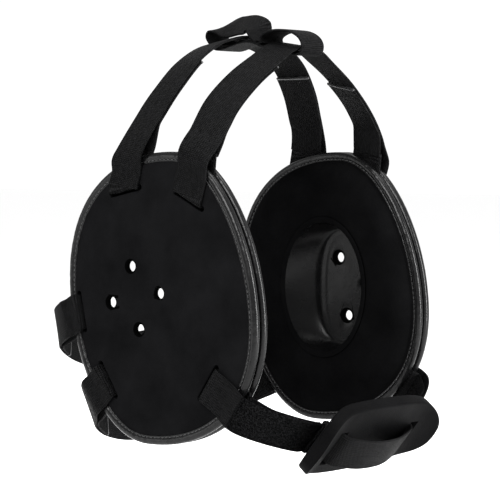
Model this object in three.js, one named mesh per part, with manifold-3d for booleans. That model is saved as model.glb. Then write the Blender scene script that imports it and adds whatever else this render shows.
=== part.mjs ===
// Wrestling ear guard: two padded ear pieces joined by webbing over, behind and under the head.
// Millimetres and degrees, +Z up. The wearer faces -Y, with the right ear at -X. The origin is the
// place where the crown webbing sits on top of the head.
import * as THREE from 'three';
import { mergeVertices } from 'three/addons/utils/BufferGeometryUtils.js';
import Module from 'manifold-3d';

const wasm = await Module();
wasm.setup();

// Driving dimensions
const clearance = 0.3; // between pieces that touch
const headGap = 176; // between the middle planes of the two ear pieces
const crownHeight = 158; // from the middle of the ear pieces up to the crown of the head

const padWidth = 151;
const padHeight = 183;
const padSquareness = 2.13; // power of the rounded outline, 2 is an ellipse
const padFrontTaper = -20; // how much further out the front's top is drawn, and its bottom less so
const padBackTaper = 16;
const padTipForward = 8.6; // how far the top edge's tip sits ahead of the middle

const panelThickness = 5.4;
const cushionEdge = 5.1;
const cushionDepth = 12.8; // at the ear opening
const cushionShoulder = 22; // from the edge to where the cushion is full
const seamInset = 33; // from the edge to the area where panel and cushion are joined
const tapeThickness = 1.1;
const tapeWidth = 6;

const rightEarForward = -26; // middle of the ear opening from the middle of its pad
const rightFloorForward = -20; // the floor sits ahead of the rim, so the back wall slopes
const rightFloorWidth = 53;
const rightVentForward = -19.5;
const leftEarForward = 2;
const leftFloorForward = 13;
const leftFloorWidth = 40;
const leftVentForward = 8;
const earWidth = 66;
const earHeight = 90;
const earFloorHeight = 68;
const earWall = 1.5;
const earCover = 2.7; // what is left of the panel over the ear cup
const earRimProud = 0.7;

const ventDiameter = 9;
const ventCircle = 40;
const ventTilt = 10;
const ventCount = 4;

const webWidth = 24;
const webThickness = 1.5;
const webClearance = 0.4; // on each side of webbing that passes between panel and cushion
const slotLength = 27;
const slotWidth = 3.6;
const bendRadius = 1.6; // of the webbing where it turns through a slot

const frontCrownTail = 66;
const backCrownTail = 58;
const upperBackTail = 34;
const lowerBackTail = 40;
const chinTail = 44;

const frontCrownForward = 34; // top of the front crown strap, ahead of the middle of the pads
const backCrownForward = -9;
const frontCrownRise = 1.7; // middle of the strap's top above the crown seat
const backCrownRise = 6.2;
const frontCrownTilt = 9; // how far each strap's top leans with the round of the head
const backCrownTilt = -10;
const linkLoopHeight = 14; // clear height of the crown link's loops over the crown straps
const linkWidth = 24;
const linkSag = 2; // how far the link hangs clear under the crown straps' middles

const napeReach = 108; // how far behind the middle of the pads the upper back strap goes
const napeDrop = 44;
const neckReach = 88;
const neckDrop = 91;

const cupLength = 118;
const cupHeight = 56;
const cupThickness = 8.5;
const cupForward = 92.5;
const cupDrop = 85.5;
const cupTilt = 40; // how far the front of the chin cup looks down
const cupFlare = 7; // how far its ends stand forward of its slots
const cupSlotReach = 38; // from the middle of the cup to each slot
const cupSlotWidth = 7;
const cupSlotDrop = 4.5; // of the slots below the middle of the cup
const cupBow = 9; // how far the strap stands off the front of the cup

const cupRounding = 2.5; // of its edges
const cupSquareness = 3.2; // power of its rounded ends
const cupEnd = 0.95; // share of the half length where its last section lies

const outlineSteps = 38;
const earSteps = 28;
const ventSteps = 12;
const cupSections = 18;
const webSpacing = 7; // between the stations of a strap
const chinSpacing = 4;
const linkSpacing = 4;

// Places that follow from the driving dimensions, measured outward from the middle plane of a pad
const layerGap = webThickness + 2 * webClearance;
const panelInner = layerGap / 2;
const panelOuter = panelInner + panelThickness;
const cushionOuter = -layerGap / 2;
const cushionInner = cushionOuter - cushionEdge;
const cushionFace = cushionOuter - cushionDepth;
const tapeInset = tapeWidth + clearance;
const tapeStep = tapeThickness + clearance;
const webOverPanel = panelOuter + clearance + webThickness / 2;
const webPitch = webThickness + clearance;
const webUnderCrown = webPitch + linkSag;
const pocketFace = panelOuter - earCover;
const cupFloorOuter = pocketFace - clearance;
const cupFloorInner = cupFloorOuter - earWall;
const cupRim = cushionFace - earRimProud;
const slotOffset = webThickness / 2 + webClearance - slotWidth / 2;

// Where each strap passes through the panel, in shares of half the pad's width and height. Heading
// is square to its slot and run is the way that it leaves in, both as angles up from straight ahead
const SLOTS = {
  frontCrown: { forward: 0.322, up: 0.681, heading: 63, run: 78 },
  backCrown: { forward: -0.362, up: 0.738, heading: 102, run: 80 },
  upperBack: { forward: -0.86, up: -0.115, heading: 192, run: 205 },
  lowerBack: { forward: -0.565, up: -0.58, heading: 212, run: 222 },
  chin: { forward: 0.529, up: -0.551, heading: -34, run: -34 },
};

const COLOURS = {
  panel: { color: 0x1b1b1d, roughness: 0.85, metalness: 0 },
  cushion: { color: 0x161618, roughness: 0.8, metalness: 0 },
  binding: { color: 0x121214, roughness: 0.35, metalness: 0 },
  cup: { color: 0x101012, roughness: 0.3, metalness: 0 },
  webbing: { color: 0x151517, roughness: 0.7, metalness: 0 },
  foam: { color: 0x1a1a1c, roughness: 0.6, metalness: 0 },
};

const radians = THREE.MathUtils.degToRad;
const lerp = THREE.MathUtils.lerp;

// Solids

function signedVolume(geometry) {
  const position = geometry.getAttribute('position');
  const index = geometry.index;
  const corner = [0, 1, 2].map(() => new THREE.Vector3());
  let sum = 0;
  for (let i = 0; i < index.count; i += 3) {
    corner.forEach((point, j) => point.fromBufferAttribute(position, index.getX(i + j)));
    sum += corner[0].dot(corner[1].clone().cross(corner[2])) / 6;
  }
  return sum;
}

// Closed skin through rings of points; it joins its last ring to its first, or is capped at both ends
function loft(rings, { joined = false } = {}) {
  const around = rings[0].length;
  const points = rings.flat();
  const faces = [];
  const spans = joined ? rings.length : rings.length - 1;
  for (let i = 0; i < spans; i += 1) {
    const low = i * around;
    const high = ((i + 1) % rings.length) * around;
    for (let j = 0; j < around; j += 1) {
      const next = (j + 1) % around;
      faces.push([low + j, low + next, high + next], [low + j, high + next, high + j]);
    }
  }
  if (!joined) {
    for (const [ring, start, front] of [[rings[0], 0, false], [rings.at(-1), points.length - around, true]]) {
      const middle = points.length;
      points.push(ring.reduce((sum, point) => sum.add(point), new THREE.Vector3()).divideScalar(around));
      for (let j = 0; j < around; j += 1) {
        const pair = [start + j, start + ((j + 1) % around)];
        faces.push(front ? [middle, ...pair] : [middle, pair[1], pair[0]]);
      }
    }
  }
  const geometry = new THREE.BufferGeometry().setFromPoints(points);
  geometry.setIndex(faces.flat());
  if (signedVolume(geometry) < 0) {
    geometry.setIndex(faces.map((face) => [face[0], face[2], face[1]]).flat());
  }
  return geometry;
}

function toSolid(geometry) {
  const bare = geometry.clone();
  bare.deleteAttribute('normal');
  bare.deleteAttribute('uv');
  const welded = mergeVertices(bare, 1e-4);
  return new wasm.Manifold(new wasm.Mesh({
    numProp: 3,
    vertProperties: Float32Array.from(welded.getAttribute('position').array),
    triVerts: Uint32Array.from(welded.index.array),
  }));
}

function toGeometry(solid) {
  const mesh = solid.getMesh();
  const geometry = new THREE.BufferGeometry();
  geometry.setAttribute('position', new THREE.BufferAttribute(mesh.vertProperties, 3));
  geometry.setIndex(new THREE.BufferAttribute(mesh.triVerts, 1));
  return geometry;
}

function cut(geometry, cutters) {
  return toGeometry(cutters.reduce((solid, cutter) => solid.subtract(toSolid(cutter)), toSolid(geometry)));
}

function piece(name, geometry, finish) {
  geometry.computeVertexNormals();
  const mesh = new THREE.Mesh(geometry, new THREE.MeshStandardMaterial(COLOURS[finish]));
  mesh.name = name;
  return mesh;
}

// Pad outline. In a pad, x is forward, y is up and z is outward from its middle plane

function outlineMiddle(up) {
  return (padTipForward * up) / (padHeight / 2);
}

function outlineSpread(up, ahead) {
  const taper = ahead ? padFrontTaper : padBackTaper;
  return 1 + ((taper / (padWidth / 2)) * up) / (padHeight / 2);
}

function outlinePoint(angle) {
  const power = 2 / padSquareness;
  const share = (value) => Math.sign(value) * Math.abs(value) ** power;
  const up = (padHeight / 2) * share(Math.sin(angle));
  const forward = (padWidth / 2) * share(Math.cos(angle));
  return new THREE.Vector2(forward * outlineSpread(up, forward > 0) + outlineMiddle(up), up);
}

function insideOutline(point) {
  const fromMiddle = point.x - outlineMiddle(point.y);
  const forward = fromMiddle / outlineSpread(point.y, fromMiddle > 0);
  const across = Math.abs(forward / (padWidth / 2)) ** padSquareness;
  return across + Math.abs(point.y / (padHeight / 2)) ** padSquareness < 1;
}

// The outline moved in by a given inset, at a given height above the pad's middle plane
function outlineRing({ inset, at }) {
  const ring = [];
  const nudge = 1e-3;
  for (let i = 0; i < outlineSteps; i += 1) {
    const angle = ((i + 0.5) * 2 * Math.PI) / outlineSteps;
    const along = outlinePoint(angle + nudge).sub(outlinePoint(angle - nudge)).normalize();
    const point = outlinePoint(angle);
    ring.push(new THREE.Vector3(point.x - along.y * inset, point.y + along.x * inset, at));
  }
  return ring;
}

function ovalRing({ forward, width, height, at }) {
  const ring = [];
  for (let i = 0; i < earSteps; i += 1) {
    const angle = (i * 2 * Math.PI) / earSteps;
    ring.push(new THREE.Vector3(
      forward + (width / 2) * Math.cos(angle),
      (height / 2) * Math.sin(angle),
      at,
    ));
  }
  return ring;
}

// Panel, cushion and bindings

function slotPlace(slot) {
  return new THREE.Vector2((slot.forward * padWidth) / 2, (slot.up * padHeight) / 2);
}

function slotAway(slot) {
  return new THREE.Vector2(Math.cos(radians(slot.run)), Math.sin(radians(slot.run)));
}

function slotShape(length, width) {
  const shape = new THREE.Shape();
  const straight = length / 2 - width / 2;
  shape.absarc(0, straight, width / 2, 0, Math.PI);
  shape.absarc(0, -straight, width / 2, Math.PI, 2 * Math.PI);
  return shape;
}

function slotCutter(slot) {
  const reach = panelThickness + layerGap;
  const geometry = new THREE.ExtrudeGeometry(slotShape(slotLength, slotWidth), {
    depth: reach,
    bevelEnabled: false,
    curveSegments: 3,
  });
  const place = slotPlace(slot);
  geometry.translate(slotOffset, 0, 0);
  geometry.rotateZ(radians(slot.heading));
  geometry.translate(place.x, place.y, 0);
  return geometry;
}

function ventPlaces(ear) {
  const places = [];
  for (let i = 0; i < ventCount; i += 1) {
    const angle = radians(ventTilt) + (i * 2 * Math.PI) / ventCount;
    places.push(new THREE.Vector2(
      ear.ventForward + (ventCircle / 2) * Math.cos(angle),
      (ventCircle / 2) * Math.sin(angle),
    ));
  }
  return places;
}

function ventCutter(place) {
  const reach = panelOuter - cupRim;
  const geometry = new THREE.CylinderGeometry(ventDiameter / 2, ventDiameter / 2, reach, ventSteps);
  geometry.rotateX(Math.PI / 2);
  return geometry.translate(place.x, place.y, panelOuter);
}

// A vent goes through the lining only where it meets the floor, and not the sloping back wall
function ventMeetsFloor(ear, place) {
  const across = (place.x - ear.floorForward) / (ear.floorWidth / 2);
  return across ** 2 + (place.y / (earFloorHeight / 2)) ** 2 < 1;
}

// The outside of the ear cup, grown by a gap on every side
function earCupBody(ear, gap) {
  const floor = {
    forward: ear.floorForward,
    width: ear.floorWidth + 2 * earWall + 2 * gap,
    height: earFloorHeight + 2 * earWall + 2 * gap,
    at: cupFloorOuter + gap,
  };
  const rim = {
    forward: ear.forward,
    width: earWidth + 2 * earWall + 2 * gap,
    height: earHeight + 2 * earWall + 2 * gap,
    at: cupRim,
  };
  const middle = {
    forward: lerp(floor.forward, rim.forward, 0.35),
    width: lerp(floor.width, rim.width, 0.5),
    height: lerp(floor.height, rim.height, 0.5),
    at: lerp(floor.at, rim.at, 0.35),
  };
  return { floor, middle, rim };
}

function outerPanel(ear) {
  const rows = [
    { inset: tapeInset, at: panelOuter },
    { inset: tapeInset, at: panelOuter - tapeStep },
    { inset: tapeStep, at: panelOuter - tapeStep },
    { inset: tapeStep, at: panelInner + tapeStep },
    { inset: tapeInset, at: panelInner + tapeStep },
    { inset: tapeInset, at: panelInner },
  ];
  const { floor, middle, rim } = earCupBody(ear, clearance);
  const pocket = loft([floor, middle, rim].map(ovalRing));
  const slots = Object.values(SLOTS).map(slotCutter);
  const vents = ventPlaces(ear).map(ventCutter);
  return cut(loft(rows.map(outlineRing)), [pocket, ...slots, ...vents]);
}

function innerPad(ear) {
  const rows = [
    { inset: seamInset, at: panelInner - clearance },
    { inset: seamInset, at: cushionOuter },
    { inset: tapeInset, at: cushionOuter },
    { inset: tapeInset, at: cushionOuter - tapeStep },
    { inset: tapeStep, at: cushionOuter - tapeStep },
    { inset: tapeStep, at: cushionInner + tapeStep },
    { inset: tapeInset, at: cushionInner + tapeStep },
    { inset: tapeInset, at: cushionInner },
    { inset: lerp(tapeInset, cushionShoulder, 0.4), at: lerp(cushionInner, cushionFace, 0.72) },
    { inset: cushionShoulder, at: cushionFace },
  ];
  const { floor, middle, rim } = earCupBody(ear, clearance);
  const rings = [{ ...floor, at: panelOuter }, floor, middle, rim, { ...rim, at: cupRim - 1 }];
  const hollow = loft(rings.map(ovalRing));
  return cut(loft(rows.map(outlineRing)), [hollow]);
}

function earCup(ear) {
  const { floor, middle, rim } = earCupBody(ear, 0);
  const thin = (ring, at) => ({
    ...ring,
    width: ring.width - 2 * earWall,
    height: ring.height - 2 * earWall,
    at,
  });
  const rings = [floor, middle, rim, thin(rim, cupRim), thin(middle, middle.at), thin(floor, cupFloorInner)];
  const vents = ventPlaces(ear).filter((place) => ventMeetsFloor(ear, place)).map(ventCutter);
  return cut(loft(rings.map(ovalRing)), vents);
}

// Folded tape round the edge of a layer that lies between two heights
function edgeBinding(low, high) {
  const round = tapeThickness + clearance;
  const rows = [
    { inset: tapeWidth, at: high },
    { inset: round, at: high },
    { inset: 0, at: high - round },
    { inset: 0, at: low + round },
    { inset: round, at: low },
    { inset: tapeWidth, at: low },
    { inset: tapeWidth, at: low + tapeThickness },
    { inset: tapeThickness, at: low + tapeThickness },
    { inset: tapeThickness, at: high - tapeThickness },
    { inset: tapeWidth, at: high - tapeThickness },
  ];
  return loft(rows.map(outlineRing), { joined: true });
}

function earPiece(side, ear) {
  const group = new THREE.Group();
  group.add(
    piece(`outer_panel_${side}`, outerPanel(ear), 'panel'),
    piece(`outer_binding_${side}`, edgeBinding(panelInner, panelOuter), 'binding'),
    piece(`inner_pad_${side}`, innerPad(ear), 'cushion'),
    piece(`inner_binding_${side}`, edgeBinding(cushionInner, cushionOuter), 'binding'),
    piece(`ear_cup_${side}`, earCup(ear), 'cup'),
  );
  return group;
}

// Webbing. Its stations are centres with the direction of the width, in the head's own directions

function headPoint(forward, up, outward) {
  return new THREE.Vector3(-(headGap / 2 + outward), -forward, up);
}

// A square station has its width at right angles to the run; in a slot it follows the slot instead
function station(centre, across, square = true) {
  return { centre, across: across.clone().normalize(), square };
}

function ribbon(stations, width, thickness) {
  const rings = stations.map(({ centre, across, square }, i) => {
    const before = stations[Math.max(i - 1, 0)].centre;
    const after = stations[Math.min(i + 1, stations.length - 1)].centre;
    const along = after.clone().sub(before).normalize();
    const side = across.clone().addScaledVector(along, square ? -across.dot(along) : 0).normalize();
    const normal = along.clone().cross(side).normalize();
    return [[-1, -1], [1, -1], [1, 1], [-1, 1]].map(([wide, thick]) => centre.clone()
      .addScaledVector(side, (wide * width) / 2)
      .addScaledVector(normal, (thick * thickness) / 2));
  });
  return loft(rings);
}

// Even stations on a smooth curve through chosen ones
function smooth(stations, spacing) {
  const path = new THREE.CatmullRomCurve3(stations.map((s) => s.centre), false, 'centripetal');
  const sides = new THREE.CatmullRomCurve3(stations.map((s) => s.across), false, 'centripetal');
  const count = Math.max(2, Math.round(path.getLength() / spacing));
  const even = [];
  for (let i = 0; i <= count; i += 1) {
    const share = path.getUtoTmapping(i / count);
    even.push(station(path.getPoint(share), sides.getPoint(share)));
  }
  return even;
}

function edgeDistance(slot) {
  const point = slotPlace(slot);
  const away = slotAway(slot);
  const step = 0.1;
  let distance = 0;
  while (insideOutline(point)) {
    point.addScaledVector(away, step);
    distance += step;
  }
  return distance;
}

// A point over a slot's pad: how far it is past the slot, and how far outward from the middle plane
function overPad(slot, past, outward, square = true) {
  const place = slotPlace(slot).addScaledVector(slotAway(slot), past);
  const heading = radians(slot.heading);
  const across = new THREE.Vector3(0, Math.sin(heading), Math.cos(heading));
  return station(headPoint(place.x, place.y, outward), across, square);
}

// One half of a strap, from its middle to its slot, back through the slot and along its own
// underside to its free end. The route lists stations from the middle of the strap to the pad.
function halfStrap({ slot, bulge, tail, spacing = webSpacing }, route) {
  const edge = edgeDistance(slot);
  const run = smooth([
    ...route,
    overPad(slot, edge + bulge, webOverPanel + bulge * 0.35),
    overPad(slot, edge * 0.55, webOverPanel),
    overPad(slot, bendRadius + 2 * webClearance, webOverPanel),
  ], spacing);
  const turn = [
    { past: 0, outward: webOverPanel - bendRadius * 0.35 },
    { past: 0, outward: bendRadius * 0.35 },
    { past: bendRadius + 2 * webClearance, outward: 0 },
    { past: edge * 0.6, outward: 0 },
    { past: edge + 0.5, outward: 0 },
  ].map(({ past, outward }) => overPad(slot, past, outward, false));
  return { run, turn, under: underRun(run, edge, tail) };
}

// The free end, lying under the strap's run beyond the pad's edge
function underRun(run, edge, tail) {
  const fromPad = [...run].reverse();
  const stations = [];
  let travelled = 0;
  for (let i = 1; i < fromPad.length - 1; i += 1) {
    travelled += fromPad[i].centre.distanceTo(fromPad[i - 1].centre);
    const past = travelled - edge;
    if (past > edge * 0.5 + 8 && past < edge + tail) {
      const along = fromPad[i + 1].centre.clone().sub(fromPad[i - 1].centre).normalize();
      const inward = along.clone().cross(fromPad[i].across).normalize();
      const outward = new THREE.Vector3(-1, 0, 0);
      const sign = inward.dot(outward) > 0 ? -1 : 1;
      const centre = fromPad[i].centre.clone().addScaledVector(inward, sign * webPitch);
      stations.push(station(centre, fromPad[i].across));
    }
  }
  return stations;
}

function mirrored(stations) {
  return stations.map(({ centre, across, square }) => station(
    centre.clone().setX(-centre.x),
    across.clone().setX(-across.x),
    square,
  )).reverse();
}

function wholeStrap(half) {
  const right = [...half.run, ...half.turn, ...half.under].reverse();
  return [...right.slice(0, -1), ...mirrored(right)];
}

// Routes. Each arch goes from the middle of a strap to its foot on the pad, in shares: out is the
// share of the way out from the middle line, and rise the share of the way up, or back, to its top
const FRONT_ARCH = [
  { out: 0, rise: 1 },
  { out: 0.16, rise: 0.965 },
  { out: 0.314, rise: 0.845 },
  { out: 0.581, rise: 0.618 },
  { out: 0.837, rise: 0.313 },
  { out: 1, rise: 0 },
];
const BACK_ARCH = [
  { out: 0, rise: 1 },
  { out: 0.18, rise: 0.985 },
  { out: 0.382, rise: 0.914 },
  { out: 0.596, rise: 0.748 },
  { out: 0.775, rise: 0.499 },
  { out: 0.899, rise: 0.263 },
];
const NAPE_ARCH = [
  { out: 0, rise: 1 },
  { out: 0.3, rise: 0.96 },
  { out: 0.6, rise: 0.8 },
  { out: 0.85, rise: 0.48 },
  { out: 0.97, rise: 0.16 },
];

// Past and outward place the foot of the arch beyond the pad's edge, bulge lifts the strap over that
// edge, and sweep is the power by which the arch leaves its top's place along the head
const CROWN_STRAPS = {
  front: {
    slot: SLOTS.frontCrown, arch: FRONT_ARCH, sweep: 1, past: 16, outward: 0, bulge: 3, tail: frontCrownTail,
  },
  back: {
    slot: SLOTS.backCrown, arch: BACK_ARCH, sweep: 4, past: 14, outward: 1, bulge: 2, tail: backCrownTail,
  },
};
const NAPE_STRAPS = {
  upper: {
    slot: SLOTS.upperBack, arch: NAPE_ARCH, sweep: 2, past: 14, outward: 4, bulge: 3, tail: upperBackTail,
  },
  lower: {
    slot: SLOTS.lowerBack, arch: NAPE_ARCH, sweep: 2, past: 9, outward: 1, bulge: 2, tail: lowerBackTail,
  },
};
const CROWN_TOPS = {
  front: { forward: frontCrownForward, up: crownHeight + frontCrownRise, tilt: frontCrownTilt },
  back: { forward: backCrownForward, up: crownHeight + backCrownRise, tilt: backCrownTilt },
};

// From the top of a strap's arch to its foot; rising names the direction that the arch rises in
function archRoute({ slot, arch, sweep, past, outward }, top, rising) {
  const foot = overPad(slot, edgeDistance(slot) + past, outward);
  return arch.map(({ out, rise }) => {
    const centre = top.centre.clone().lerp(foot.centre, out ** sweep);
    centre.x = foot.centre.x * out;
    centre[rising] = lerp(foot.centre[rising], top.centre[rising], rise);
    return station(centre, top.across.clone().lerp(foot.across, out ** 2));
  });
}

function crownStrap(name) {
  const { forward, up, tilt } = CROWN_TOPS[name];
  const across = new THREE.Vector3(0, Math.cos(radians(tilt)), Math.sin(radians(tilt)));
  const top = station(new THREE.Vector3(0, -forward, up), across);
  const strap = CROWN_STRAPS[name];
  const half = halfStrap(strap, archRoute(strap, top, 'z'));
  return ribbon(wholeStrap(half), webWidth, webThickness);
}

function napeStrap(name, reach, drop) {
  const top = station(new THREE.Vector3(0, reach, -drop), new THREE.Vector3(0, 0, -1));
  const strap = NAPE_STRAPS[name];
  const half = halfStrap(strap, archRoute(strap, top, 'y'));
  return ribbon(wholeStrap(half), webWidth, webThickness);
}

// The short strap between the two crown straps, with a loop round each

// A place beside a crown strap's top: along its width in half widths, and over it in loop heights
function besideCrown(name, along, over) {
  const { forward, up, tilt } = CROWN_TOPS[name];
  const lean = radians(tilt);
  const ahead = (along * webWidth) / 2;
  const above = over === 'under' ? -webUnderCrown : over * linkLoopHeight;
  return new THREE.Vector3(
    0,
    -(forward + ahead * Math.cos(lean) + above * Math.sin(lean)),
    up - ahead * Math.sin(lean) + above * Math.cos(lean),
  );
}

// A place over the link's lower run between the two crown straps
function betweenCrowns(share) {
  const start = besideCrown('back', 1, 'under');
  const end = besideCrown('front', -1, 'under');
  const along = end.clone().sub(start).normalize();
  const above = new THREE.Vector3(1, 0, 0).cross(along);
  return start.lerp(end, share).addScaledVector(above, above.z > 0 ? webPitch : -webPitch);
}

const LINK_ROUTE = [
  { between: 0.44 },
  { between: 0.34 },
  { beside: 'back', along: 1.36, over: 0.3 },
  { beside: 'back', along: 1.3, over: 0.72 },
  { beside: 'back', along: 0.8, over: 0.98 },
  { beside: 'back', along: -1.2, over: 1.15 },
  { beside: 'back', along: -1.6, over: 0.7 },
  { beside: 'back', along: -1.5, over: 0.06 },
  { beside: 'back', along: -1.08, over: 'under' },
  { beside: 'back', along: 1, over: 'under' },
  { beside: 'front', along: -1, over: 'under' },
  { beside: 'front', along: 1.08, over: 'under' },
  { beside: 'front', along: 1.3, over: 0.12 },
  { beside: 'front', along: 1.05, over: 0.5 },
  { beside: 'front', along: 0.3, over: 0.7 },
  { beside: 'front', along: -1.3, over: 0.5 },
  { beside: 'front', along: -1.62, over: 0.16 },
  { between: 0.66 },
  { between: 0.56 },
];

function crownLink() {
  const across = new THREE.Vector3(1, 0, 0);
  const stations = LINK_ROUTE.map(({ between, beside, along, over }) => {
    const place = beside ? besideCrown(beside, along, over) : betweenCrowns(between);
    return station(place, across);
  });
  return ribbon(smooth(stations, linkSpacing), linkWidth, webThickness);
}

// Chin cup, with x along its length, y up its face and z out of its front, and the strap through it

function cupOffset(along) {
  const past = Math.max(0, Math.abs(along) - cupSlotReach);
  return cupFlare * (past / (cupLength / 2 - cupSlotReach)) ** 2;
}

function cupSection(along) {
  const share = Math.abs(along) / (cupLength / 2);
  const half = (cupHeight / 2) * (1 - share ** cupSquareness) ** (1 / cupSquareness);
  const rounding = Math.min(cupRounding, half / 2);
  const thick = cupThickness / 2;
  const offset = cupOffset(along);
  return [
    [half - rounding, thick],
    [half, thick - rounding],
    [half, rounding - thick],
    [half - rounding, -thick],
    [rounding - half, -thick],
    [-half, rounding - thick],
    [-half, thick - rounding],
    [rounding - half, thick],
  ].map(([up, out]) => new THREE.Vector3(along, up, out + offset));
}

function chinCup() {
  const sections = [];
  for (let i = 0; i <= cupSections; i += 1) {
    const share = Math.sin(((i / cupSections) * 2 - 1) * Math.PI / 2);
    sections.push(cupSection((share * cupEnd * cupLength) / 2));
  }
  const slots = [-1, 1].map((sign) => {
    const slot = new THREE.BoxGeometry(cupSlotWidth, slotLength, cupThickness * 2);
    return slot.translate(sign * cupSlotReach, -cupSlotDrop, 0);
  });
  return cut(loft(sections), slots);
}

function cupPlacement() {
  const tilt = radians(cupTilt);
  const up = new THREE.Vector3(0, -Math.sin(tilt), Math.cos(tilt));
  const out = new THREE.Vector3(0, -Math.cos(tilt), -Math.sin(tilt));
  return new THREE.Matrix4()
    .makeBasis(new THREE.Vector3(1, 0, 0), up, out)
    .setPosition(0, -cupForward, -cupDrop);
}

function chinStrap() {
  const placement = cupPlacement();
  const face = cupThickness / 2;
  const overFace = face + clearance + webThickness / 2;
  const slant = (cupSlotWidth - webThickness) / 2 - 2 * webClearance;
  const across = new THREE.Vector3(0, 1, 0).transformDirection(placement);
  const rows = [
    { along: 0, out: overFace + cupBow },
    { along: 0.3 * cupSlotReach, out: overFace + 0.93 * cupBow },
    { along: 0.6 * cupSlotReach, out: overFace + 0.66 * cupBow },
    { along: 0.9 * cupSlotReach, out: overFace + 0.18 * cupBow },
    { along: cupSlotReach - slant, out: 0.9 * face },
    { along: cupSlotReach + slant, out: -0.9 * face },
    { along: 1.1 * cupSlotReach, out: -overFace - 0.18 * cupBow },
    { along: 1.4 * cupSlotReach, out: -overFace - 0.25 * cupBow },
  ];
  const route = rows.map(({ along, out }) => {
    const centre = new THREE.Vector3(-along, -cupSlotDrop, out).applyMatrix4(placement);
    return station(centre, across);
  });
  const strap = { slot: SLOTS.chin, bulge: 6, tail: chinTail, spacing: chinSpacing };
  return ribbon(wholeStrap(halfStrap(strap, route)), webWidth, webThickness);
}

// The whole guard, made round the middle of the ear pieces and then set under the crown

const EARS = {
  right: {
    sign: -1,
    forward: rightEarForward,
    floorForward: rightFloorForward,
    floorWidth: rightFloorWidth,
    ventForward: rightVentForward,
  },
  left: {
    sign: 1,
    forward: leftEarForward,
    floorForward: leftFloorForward,
    floorWidth: leftFloorWidth,
    ventForward: leftVentForward,
  },
};

const guard = new THREE.Group();
for (const [side, ear] of Object.entries(EARS)) {
  const forward = new THREE.Vector3(0, -1, 0);
  const up = new THREE.Vector3(0, 0, 1);
  const outward = new THREE.Vector3(ear.sign, 0, 0);
  const place = new THREE.Matrix4().makeBasis(forward, up, outward);
  place.setPosition((ear.sign * headGap) / 2, 0, 0);
  const group = earPiece(side, ear);
  group.applyMatrix4(place);
  guard.add(group);
}
const cup = piece('chin_cup', chinCup(), 'foam');
cup.applyMatrix4(cupPlacement());
guard.add(
  piece('front_crown_strap', crownStrap('front'), 'webbing'),
  piece('back_crown_strap', crownStrap('back'), 'webbing'),
  piece('crown_link', crownLink(), 'webbing'),
  piece('upper_back_strap', napeStrap('upper', napeReach, napeDrop), 'webbing'),
  piece('lower_back_strap', napeStrap('lower', neckReach, neckDrop), 'webbing'),
  piece('chin_strap', chinStrap(), 'webbing'),
  cup,
);
guard.position.z = -crownHeight;

export default guard;
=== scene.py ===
"""Looks of a wrestling ear guard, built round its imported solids."""

import math

import bpy
import bmesh
import numpy as np
from bpy.props import FloatProperty, FloatVectorProperty, IntProperty, PointerProperty
from mathutils import Matrix, Vector, noise


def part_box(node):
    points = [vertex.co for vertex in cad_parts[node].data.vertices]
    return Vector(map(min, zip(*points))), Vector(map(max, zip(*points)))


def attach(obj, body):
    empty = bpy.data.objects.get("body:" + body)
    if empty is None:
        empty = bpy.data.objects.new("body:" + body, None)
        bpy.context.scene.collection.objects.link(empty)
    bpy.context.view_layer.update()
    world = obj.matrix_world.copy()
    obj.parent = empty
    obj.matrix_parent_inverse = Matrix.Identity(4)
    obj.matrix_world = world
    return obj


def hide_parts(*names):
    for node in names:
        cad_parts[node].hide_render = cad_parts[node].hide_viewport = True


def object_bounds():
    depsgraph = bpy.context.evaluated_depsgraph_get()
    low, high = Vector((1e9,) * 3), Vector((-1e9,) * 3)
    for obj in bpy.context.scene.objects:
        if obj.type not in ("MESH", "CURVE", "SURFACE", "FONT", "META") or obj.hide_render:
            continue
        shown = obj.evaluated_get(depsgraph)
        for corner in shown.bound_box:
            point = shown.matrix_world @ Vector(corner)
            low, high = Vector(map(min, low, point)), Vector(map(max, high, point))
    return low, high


bl_info = {
    "name": "Wrestling Ear Guard",
    "version": (1, 0, 0),
    "blender": (4, 5, 0),
    "location": "View3D > Sidebar > Ear Guard",
    "description": "Models the padded ear pieces, webbing and chin cup of a wrestling ear guard",
    "category": "Object",
}

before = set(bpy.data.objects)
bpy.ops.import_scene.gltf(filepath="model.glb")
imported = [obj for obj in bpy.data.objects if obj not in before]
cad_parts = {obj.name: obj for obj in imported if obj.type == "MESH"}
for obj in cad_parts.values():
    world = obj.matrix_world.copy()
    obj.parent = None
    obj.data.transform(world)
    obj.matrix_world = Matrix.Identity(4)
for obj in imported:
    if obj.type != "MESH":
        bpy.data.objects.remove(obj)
CAD_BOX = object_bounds()

MM = 0.001


def node_size(node, axis):
    low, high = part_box(node)
    return high[axis] - low[axis]


def node_middle(node, axis):
    low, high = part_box(node)
    return (high[axis] + low[axis]) / 2


PAD_HEIGHT = node_size("outer_binding_right", 2)
PAD_MIDDLE_Z = node_middle("outer_binding_right", 2)
MIDDLE_X = (-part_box("outer_binding_right")[1][0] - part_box("inner_binding_right")[0][0]) / 2


def outward(node, end):
    """Where a right piece starts or ends, in mm outward from the ear piece's middle plane."""
    return (-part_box(node)[end][0] - MIDDLE_X) / MM


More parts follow.
